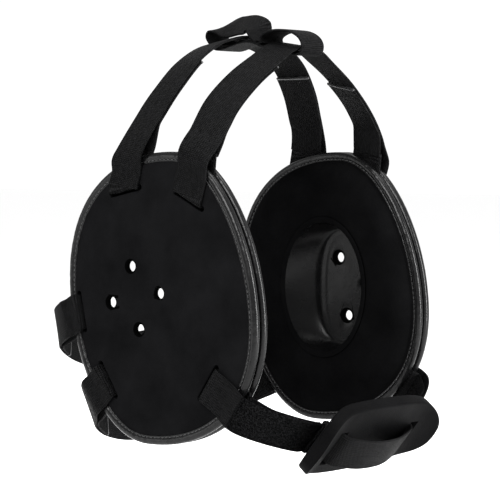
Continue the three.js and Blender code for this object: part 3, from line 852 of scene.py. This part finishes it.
def half_strap(strap, route, thickness, spacing):
    """From the middle of a strap to its slot, through it and back under the strap to its free end."""
    slot = strap["slot"]
    edge = edge_distance(slot)
    over = PANEL_OUT + GAP + thickness / 2
    bulge = strap["bulge"]
    run = smooth_stations([
        *route,
        over_pad(slot, edge + bulge, over + bulge * 0.35),
        over_pad(slot, max(edge * 0.6, 9.0), over + 0.2),
        over_pad(slot, 5.5, over + 1.0),
        over_pad(slot, BEND + 2 * WEB_GAP, over + 1.2),
    ], spacing)
    places = [  # past the slot, outward
        (1.4, over + 1.05), (0.7, over + 0.6), (0.15, over - 0.2), (0.0, over - 1.3), (0.0, over / 2),
        (0.0, 1.8), (0.2, 0.9), (0.75, 0.3), (1.5, 0.05), (BEND + 2 * WEB_GAP, 0.0),
        (edge * 0.6, 0.0), (edge - 1.5, 0.0), (edge + 0.5, 0.0),
    ]
    narrowing = [1.0, 0.985, 0.96, 0.94, 0.93, 0.93, 0.94, 0.95, 0.96, 0.97, 1.0, 1.0, 1.0]
    turn = []
    for (past, outward), share in zip(places, narrowing):
        centre, across, square = over_pad(slot, past, outward, False)
        turn.append((centre, across * share, square))
    under = [under_run(run, edge, strap[key], thickness) for key in ("tail", "left_tail")]
    return run + turn, under


def under_run(run, edge, tail, thickness):
    """The free end, lying under the strap's run beyond the pad's edge."""
    from_pad = run[::-1]
    depth = PANEL_OUT + GAP + thickness / 2
    stations = []
    travelled = 0.0
    for i in range(1, len(from_pad) - 1):
        travelled += np.linalg.norm(from_pad[i][0] - from_pad[i - 1][0])
        if edge + CLOSE_FROM < travelled < 2 * edge + tail:
            share = min((travelled - edge - CLOSE_FROM) / CLOSE_OVER, 1.0)
            closing = share * share * (3 - 2 * share)
            offset = depth + (thickness + GAP - depth) * closing
            along = unit(from_pad[i + 1][0] - from_pad[i - 1][0])
            inward = unit(np.cross(along, from_pad[i][1]))
            sign = -1 if inward[0] < 0 else 1
            stations.append((from_pad[i][0] + inward * sign * offset, from_pad[i][1], True))
    return stations


def mirrored(stations):
    flip = np.array([-1, 1, 1])
    return [(centre * flip, across * flip, square) for centre, across, square in reversed(stations)]


def web_size(sizes):
    return sizes.web_width / MM, sizes.web_thickness / MM


def ribbon(stations, width, thickness):
    """A strap with round edges and a slightly crowned face, mapped along and across."""
    bm = bmesh.new()
    layer = bm.loops.layers.uv.new("along")
    half, thick = width / 2, thickness / 2
    flat = half - thick * 0.8
    shape = [(flat * s, thick * (1 + 0.1 * (1 - s * s))) for s in np.linspace(-1, 1, 7)]
    shape += [(flat + thick * 0.62, thick * 0.6), (half, 0.0), (flat + thick * 0.62, -thick * 0.6)]
    shape += [(-a, -b) for a, b in shape]
    rows = []
    travelled = 0.0
    lengths = []
    for i, (centre, across, square) in enumerate(stations):
        before = stations[max(i - 1, 0)][0]
        after = stations[min(i + 1, len(stations) - 1)][0]
        along = unit(after - before)
        side = unit(across - along * np.dot(across, along)) if square else across
        normal = unit(np.cross(along, side))
        travelled += np.linalg.norm(centre - before)
        lengths.append(travelled)
        rows.append([bm.verts.new(centre + side * a + normal * b) for a, b in shape])
    count = len(shape)
    for i in range(len(rows) - 1):
        for j in range(count):
            k = (j + 1) % count
            face = bm.faces.new((rows[i][j], rows[i][k], rows[i + 1][k], rows[i + 1][j]))
            for loop, (row, column) in zip(face.loops, ((i, j), (i, k), (i + 1, k), (i + 1, j))):
                loop[layer].uv = (shape[column][0] / width + 0.5, lengths[row] / width)
    for row in (rows[0], rows[-1]):
        bm.faces.new(row)
    for vert in bm.verts:
        vert.co.z += DROP
    return bm


FRONT_ARCH = [(0, 1), (0.16, 0.965), (0.314, 0.845), (0.581, 0.618), (0.837, 0.313), (1, 0)]
BACK_ARCH = [(0, 1), (0.18, 0.985), (0.382, 0.914), (0.596, 0.748), (0.775, 0.499), (0.899, 0.263)]
NAPE_ARCH = [(0, 1), (0.3, 0.96), (0.6, 0.8), (0.85, 0.48), (0.97, 0.16)]

STRAPS = {
    "front_crown_strap": {
        "slot": SLOTS["front_crown"], "arch": FRONT_ARCH, "sweep": 1, "past": 16.0, "outward": 0.0,
        "bulge": 3.0, "tail": 66.0, "left_tail": 42.0, "rising": 2, "top": (0, -34.0, 159.7), "tilt": 9.0,
    },
    "back_crown_strap": {
        "slot": SLOTS["back_crown"], "arch": BACK_ARCH, "sweep": 4, "past": 14.0, "outward": 1.0,
        "bulge": 2.0, "tail": 58.0, "left_tail": 47.0, "rising": 2, "top": (0, 9.0, 164.2), "tilt": -10.0,
    },
    "upper_back_strap": {
        "slot": SLOTS["upper_back"], "arch": NAPE_ARCH, "sweep": 2, "past": 14.0, "outward": 4.0,
        "bulge": 3.0, "tail": 34.0, "left_tail": 34.0, "rising": 1, "top": (0, 108.0, -44.0), "tilt": None,
    },
    "lower_back_strap": {
        "slot": SLOTS["lower_back"], "arch": NAPE_ARCH, "sweep": 2, "past": 9.0, "outward": 1.0,
        "bulge": 2.0, "tail": 40.0, "left_tail": 40.0, "rising": 1, "top": (0, 88.0, -91.0), "tilt": None,
    },
}


def arch_route(strap):
    """Stations from the top of a strap's arch to its foot on the pad."""
    past = edge_distance(strap["slot"]) + strap["past"]
    foot, foot_across, _ = over_pad(strap["slot"], past, strap["outward"])
    top = np.array(strap["top"], dtype=float)
    if strap["tilt"] is None:
        top_across = np.array([0.0, 0.0, -1.0])
    else:
        tilt = math.radians(strap["tilt"])
        top_across = np.array([0, math.cos(tilt), math.sin(tilt)])
    stations = []
    for out, rise in strap["arch"]:
        centre = top + (foot - top) * out ** strap["sweep"]
        centre[0] = foot[0] * out
        axis = strap["rising"]
        centre[axis] = foot[axis] + (top[axis] - foot[axis]) * rise
        across = unit(top_across + (foot_across - top_across) * out ** 2)
        stations.append((centre, across, True))
    return stations


def whole_strap(half, under):
    """From the free end on the right, over the middle, to the free end on the left."""
    right = (half + under[0])[::-1]
    left = (half + under[1])[::-1]
    return right[:-1] + mirrored(left)


def build_sealed_ends(name, stations, sizes, material):
    """The melted ends of a strap, a little thicker than its webbing, in a lighter colour that paints a
    highlight line across each end.
    """
    bm = bmesh.new()
    width, thickness = web_size(sizes)
    for start, following in ((stations[0], stations[1]), (stations[-1], stations[-2])):
        along = unit(start[0] - following[0])
        ends = [(start[0] + along * step, start[1], start[2]) for step in (-0.3, -0.1, 0.5, 0.7)]
        grown = ribbon(ends, width + 0.3, thickness + 0.4)
        mesh = to_mesh("sealed_end", grown)
        bm.from_mesh(mesh)
        bpy.data.meshes.remove(mesh)
    return finish_webbing(f"{name}_ends", bm, [material], [])


def build_strap(name, sizes, material, end_highlight_material):
    strap = STRAPS[name]
    thickness = sizes.web_thickness / MM
    half, under = half_strap(strap, arch_route(strap), thickness, 2.0)
    stations = whole_strap(half, under)
    bm = ribbon(stations, *web_size(sizes))
    build_sealed_ends(name, stations, sizes, end_highlight_material)
    return finish_webbing(f"{name}_look", bm, [material], [name])


# Crown link


LINK_LOOP = 14.0  # height that the route's loops are measured in
LINK_SAG = 2.0  # how far the link hangs below the crown straps


def beside_crown(name, along, over, sizes):
    """A place by a crown strap's top: along its width in half widths, over it in loop heights."""
    _, back, up = STRAPS[f"{name}_crown_strap"]["top"]
    lean = math.radians(STRAPS[f"{name}_crown_strap"]["tilt"])
    ahead = along * sizes.web_width / MM / 2
    pitch = sizes.web_thickness / MM + GAP
    above = -(pitch + LINK_SAG) if over == "under" else over * LINK_LOOP
    return np.array([
        0,
        back - ahead * math.cos(lean) - above * math.sin(lean),
        up - ahead * math.sin(lean) + above * math.cos(lean),
    ])


def between_crowns(share, sizes):
    """A place on the link's upper layer, from the back crown strap to the front one."""
    start = beside_crown("back", 1, "under", sizes)
    end = beside_crown("front", -1, "under", sizes)
    above = np.cross((1, 0, 0), unit(end - start))
    above = above if above[2] > 0 else -above
    return start + (end - start) * share + above * (sizes.web_thickness / MM + GAP)


def build_crown_link(sizes, material):
    """The strap along the top: a leaning loop round the back crown strap, a level one round the front."""
    route = [  # beside which strap, along its width, over it, lean in degrees
        ("between", 0.44, 0, 0), ("between", 0.34, 0, 0),
        ("back", 1.25, 0.16, 12), ("back", 1.2, 0.36, 26), ("back", 0.6, 0.61, 34),
        ("back", -0.3, 0.68, 37), ("back", -1.0, 0.8, 22), ("back", -1.5, 0.68, 5),
        ("back", -1.64, 0.36, 0), ("back", -1.45, 0.03, 0), ("back", -1.08, "under", 0),
        ("back", 1, "under", 0), ("front", -1, "under", 0), ("front", 1.08, "under", 0),
        ("front", 1.2, 0.1, 0), ("front", 0.95, 0.42, 0), ("front", 0.2, 0.64, 0),
        ("front", -1.15, 0.48, 0), ("front", -1.6, 0.16, 0),
        ("between", 0.66, 0, 0), ("between", 0.56, 0, 0),
    ]
    places = []
    for where, along, over, lean in route:
        if where == "between":
            centre = between_crowns(along, sizes)
        else:
            centre = beside_crown(where, along, over, sizes)
        side, rise = direction(lean)
        places.append((centre, np.array([side, 0.0, rise])))
    bm = ribbon(smooth_stations(places, 1.2), *web_size(sizes))
    return finish_webbing("crown_link_look", bm, [material], ["crown_link"])


# Chin cup and the strap through it


CUP = {
    "length": 123.0, "height": 56.0, "thickness": 8.5, "forward": 92.5, "drop": 85.5, "tilt": 40.0,
    "flare": 7.0, "slot_reach": 38.0, "slot_width": 7.0, "slot_drop": 4.5, "bow": 9.0, "end": 0.988,
    "squareness": 3.8, "left_squareness": 2.7,
}
CUP_CORNER = 1.6  # radius of the plate's rim
CUP_SWELL = 0.5  # how far the plate's faces bulge
CUP_SECTIONS = 96
PILE_FROM = 46.0  # how far out from the middle the chin strap's hook and loop face starts


def cup_matrix():
    """Places the cup, built with x along it, y up and z outward, below the chin."""
    tilt = math.radians(CUP["tilt"])
    up = Vector((0, -math.sin(tilt), math.cos(tilt)))
    out = Vector((0, -math.cos(tilt), -math.sin(tilt)))
    rotation = Matrix((Vector((1, 0, 0)), up, out)).transposed().to_4x4()
    return Matrix.Translation((0, -CUP["forward"], -CUP["drop"])) @ rotation


def cup_offset(along):
    """How far the cup's ends flare outward past its slots."""
    past = max(0.0, abs(along) - CUP["slot_reach"])
    return CUP["flare"] * (past / (CUP["length"] / 2 - CUP["slot_reach"])) ** 2


def cup_section(along):
    """A ring round the plate at a distance along it, with round corners and swollen faces."""
    share = abs(along) / (CUP["length"] / 2)
    squareness = CUP["squareness"] if along < 0 else CUP["left_squareness"]
    half = CUP["height"] / 2 * (1 - share ** squareness) ** (1 / squareness)
    thick = CUP["thickness"] / 2
    offset = cup_offset(along)
    points = []
    for sx, sy, start in ((1, 1, 0), (-1, 1, 1), (-1, -1, 2), (1, -1, 3)):
        for i in range(5):
            turn = math.pi / 2 * (start + i / 4)
            points.append((
                along,
                sx * (half - CUP_CORNER) + CUP_CORNER * math.cos(turn),
                offset + sy * (thick - CUP_CORNER) + CUP_CORNER * math.sin(turn),
            ))
    crowned = []
    for i, point in enumerate(points):
        crowned.append(point)
        following = points[(i + 1) % len(points)]
        if i % 5 == 4 and abs(following[1] - point[1]) > CUP_CORNER:
            swell = CUP_SWELL if point[2] > offset else -CUP_SWELL
            for step in np.linspace(0, 1, 9)[1:-1]:
                between = [point[n] + (following[n] - point[n]) * step for n in range(3)]
                between[2] += swell * math.sin(math.pi * step)
                crowned.append(tuple(between))
    return crowned


def cup_slot_cutter(middle):
    def section(grow, at):
        wide = CUP["slot_width"] / 2 + grow
        long = SLOT_LENGTH / 2 + grow
        corners = ((-wide, -long), (wide, -long), (wide, long), (-wide, long))
        return np.array([(middle + across, -CUP["slot_drop"] + up, at) for across, up in corners])
    return flared_cutter(section, -CUP["thickness"] / 2, CUP["thickness"] / 2, 0.5)


def build_chin_cup(material):
    sections = []
    for i in range(CUP_SECTIONS + 1):
        share = math.sin((i / CUP_SECTIONS * 2 - 1) * math.pi / 2)
        sections.append(cup_section(share * CUP["end"] * CUP["length"] / 2))
    bm = cut(loft(sections), [cup_slot_cutter(sign * CUP["slot_reach"]) for sign in (-1, 1)])
    bm.transform(cup_matrix())
    bmesh.ops.translate(bm, vec=(0, 0, DROP), verts=bm.verts)
    piece = finish_mesh("chin_cup_look", bm, [material], ["chin_cup"], smooth_angle=40)
    return piece


def past_slot(slot, point):
    """How far a point lies from a slot along the strap's run over the panel."""
    from_slot = np.array([-point.y, point.z - DROP]) - slot_middle(slot)
    return np.dot(from_slot, direction(slot["run"]))


def build_chin_strap(sizes, web, pile, end_highlight_material):
    """The strap over the cup, through its slots and behind its ends to both panels."""
    thickness = sizes.web_thickness / MM
    placement = cup_matrix()
    face = CUP["thickness"] / 2
    over = face + GAP + thickness / 2
    slant = (CUP["slot_width"] - thickness) / 2 - 2 * WEB_GAP
    reach, bow = CUP["slot_reach"], CUP["bow"]
    rows = [  # along the cup, out from its middle layer
        (0, over + bow), (0.3 * reach, over + 0.93 * bow), (0.6 * reach, over + 0.66 * bow),
        (0.9 * reach, over + 0.18 * bow), (reach - slant, 0.9 * face), (reach + slant, -0.9 * face),
        (1.1 * reach, -over - 0.18 * bow), (1.4 * reach, -over - 0.25 * bow),
    ]
    across = np.array(placement.to_3x3() @ Vector((0, 1, 0)))
    route = []
    for along, out in rows:
        route.append((np.array(placement @ Vector((-along, -CUP["slot_drop"], out))), across, True))
    strap = {"slot": SLOTS["chin"], "bulge": 6.0, "tail": 44.0, "left_tail": 44.0}
    half, under = half_strap(strap, route, thickness, 1.5)
    stations = whole_strap(half, under)
    bm = ribbon(stations, *web_size(sizes))
    build_sealed_ends("chin_strap", stations, sizes, end_highlight_material)
    reach_of_panel = edge_distance(strap["slot"]) + 3
    for part in bm.faces:
        middle = part.calc_center_median()
        if abs(middle.x) > PILE_FROM and past_slot(strap["slot"], middle) > reach_of_panel:
            part.material_index = 1
    return finish_webbing("chin_strap_look", bm, [web, pile], ["chin_strap"])


# Operators


def materials():
    """The finishes by short name, made once."""
    made = [m for m in bpy.data.materials if m.name.startswith("guard_")]
    if made:
        return {m.name.removeprefix("guard_"): m for m in made}
    colours = bpy.context.scene.guard_colours
    made = [
        fabric_material("guard_panel", colours.panel, 0.72, 900.0, 0.0),
        fabric_material("guard_cushion", colours.cushion, 0.8, 900.0, 0.0),
        vinyl_material("guard_binding", colours.binding, 0.25, 700.0, 0.13),
        vinyl_material("guard_lining", colours.lining, 0.25, 1000.0, 0.075),
        webbing_material("guard_webbing", colours.webbing, 0.55),
        pile_material("guard_pile", colours.webbing, 0.8),
        foam_material("guard_foam", colours.foam, 0.6),
        vinyl_material("guard_thread", colours.thread, 0.5, 2500.0),
        # Lighter colour on the strap ends: a painted highlight
        vinyl_material("guard_sealed_end", colours.sealed_end, 0.4, 1500.0),
        # A darker fabric that paints the shade inside the vents
        fabric_material("guard_raw_edge", colours.raw_edge, 0.9, 1200.0, 0.0),
    ]
    return {m.name.removeprefix("guard_"): m for m in made}


class GUARD_OT_ear_pieces(bpy.types.Operator):
    """Model both ear pieces: panels, cushions, linings, tapes and their stitching."""

    bl_idname = "guard.ear_pieces"
    bl_label = "Ear Pieces"

    def execute(self, context):
        sizes = context.scene.guard_sizes
        look = materials()
        raw_edge, cover, tape = look["raw_edge"], look["cushion"], look["binding"]
        layers = (("outer", PANEL_IN, PANEL_OUT, 5.0), ("inner", CUSHION_IN, CUSHION_OUT, 9.0))
        for i, (label, side) in enumerate(SIDES.items()):
            build_outer_panel(f"outer_panel_{label}", side, sizes, look["panel"], raw_edge)
            build_inner_pad(f"inner_pad_{label}", side, sizes, cover)
            build_ear_cup(f"ear_cup_{label}", side, sizes, look["lining"], raw_edge, cover)
            for layer, low, high, seed in layers:
                build_binding(f"{layer}_binding_{label}", side, sizes, tape, low, high, seed + i)
            build_seams(label, side, sizes, look["thread"])
        return {"FINISHED"}


class GUARD_OT_straps(bpy.types.Operator):
    """Model the crown straps, their link and the straps behind the head."""

    bl_idname = "guard.straps"
    bl_label = "Straps"

    def execute(self, context):
        sizes = context.scene.guard_sizes
        look = materials()
        for name in STRAPS:
            build_strap(name, sizes, look["webbing"], look["sealed_end"])
        build_crown_link(sizes, look["webbing"])
        return {"FINISHED"}


class GUARD_OT_chin(bpy.types.Operator):
    """Model the chin cup and the strap through it."""

    bl_idname = "guard.chin"
    bl_label = "Chin Cup and Strap"

    def execute(self, context):
        sizes = context.scene.guard_sizes
        look = materials()
        build_chin_cup(look["foam"])
        build_chin_strap(sizes, look["webbing"], look["pile"], look["sealed_end"])
        return {"FINISHED"}


CAMERA_AZIMUTH = -52.0
CAMERA_ELEVATION = 3.4
CAMERA_DISTANCE = 1.49
CAMERA_LENS = 164.2
CAMERA_RAISE = 0.02745
CAMERA_ASIDE = -0.00161
FLOOR_BELOW = 0.06


def add_area_light(name, place, target, size, energy):
    data = bpy.data.lights.new(name, "AREA")
    data.shape = "RECTANGLE"
    data.size, data.size_y = size
    data.energy = energy
    light = add_object(name, data)
    light.location = place
    light.rotation_euler = (Vector(target) - Vector(place)).to_track_quat("-Z", "Y").to_euler()


class GUARD_OT_stage(bpy.types.Operator):
    """Set the floor, the soft lights and the camera."""

    bl_idname = "guard.stage"
    bl_label = "Stage"

    def execute(self, context):
        middle = Vector((0, 0, PAD_MIDDLE_Z))
        azimuth = math.radians(CAMERA_AZIMUTH)
        elevation = math.radians(CAMERA_ELEVATION)
        toward = Vector((
            math.sin(azimuth) * math.cos(elevation),
            -math.cos(azimuth) * math.cos(elevation),
            math.sin(elevation),
        ))
        data = bpy.data.cameras.new("camera")
        data.lens = CAMERA_LENS
        data.sensor_width = 36
        camera = add_object("camera", data)
        camera.location = middle + toward * CAMERA_DISTANCE
        across = Vector((math.cos(azimuth), math.sin(azimuth), 0))
        aim = middle + toward.cross(across) * CAMERA_RAISE + across * CAMERA_ASIDE
        camera.rotation_euler = (aim - camera.location).to_track_quat("-Z", "Y").to_euler()
        context.scene.camera = camera

        bm = bmesh.new()
        bmesh.ops.create_grid(bm, x_segments=4, y_segments=4, size=12)
        mesh = to_mesh("floor", bm)
        floor = add_object("floor", mesh)
        floor.location = (0, 0, CAD_BOX[0][2] - FLOOR_BELOW)
        material, tree, shader = new_material("floor_paint", (0.93, 0.93, 0.93), 0.95)
        grain = add_node(tree, "ShaderNodeTexNoise", Scale=30.0, Detail=2.0)
        link(tree, object_coordinates(tree), grain.inputs["Vector"])
        bump_chain(tree, shader, [(grain.outputs["Fac"], 0.02, 0.001)])
        mesh.materials.append(material)

        world = bpy.data.worlds.new("studio")
        world.use_nodes = True
        background = world.node_tree.nodes["Background"]
        background.inputs["Color"].default_value = (1, 1, 1, 1)
        background.inputs["Strength"].default_value = 1.06
        context.scene.world = world
        add_area_light("key", (-1.3, -0.5, 0.8), middle, (0.7, 0.7), 40)
        add_area_light("front_strip", (0.25, -1.4, 0.05), middle, (0.18, 1.3), 66)
        add_area_light("top", (0.1, -0.2, 1.2), middle, (0.9, 0.9), 30)
        add_area_light("back_strip", (-1.0, 0.85, -0.1), middle, (0.3, 0.8), 4)
        context.scene.view_settings.view_transform = "Standard"
        return {"FINISHED"}


class GUARD_PT_panel(bpy.types.Panel):
    """Sizes, colours and the steps that build the guard."""

    bl_label = "Ear Guard"
    bl_idname = "GUARD_PT_panel"
    bl_space_type = "VIEW_3D"
    bl_region_type = "UI"
    bl_category = "Ear Guard"

    def draw(self, context):
        layout = self.layout
        for group in (context.scene.guard_sizes, context.scene.guard_colours):
            for name in group.__annotations__:
                layout.prop(group, name)
        for operator in OPERATORS:
            layout.operator(operator.bl_idname)


OPERATORS = (GUARD_OT_ear_pieces, GUARD_OT_straps, GUARD_OT_chin, GUARD_OT_stage)
CLASSES = (GuardSizes, GuardColours, *OPERATORS, GUARD_PT_panel)


def register():
    for cls in CLASSES:
        bpy.utils.register_class(cls)
    bpy.types.Scene.guard_sizes = PointerProperty(type=GuardSizes)
    bpy.types.Scene.guard_colours = PointerProperty(type=GuardColours)


def unregister():
    del bpy.types.Scene.guard_colours
    del bpy.types.Scene.guard_sizes
    for cls in reversed(CLASSES):
        bpy.utils.unregister_class(cls)


def main():
    register()
    bpy.ops.guard.stage()
    bpy.ops.guard.ear_pieces()
    bpy.ops.guard.straps()
    bpy.ops.guard.chin()


if __name__ == "__main__":
    main()
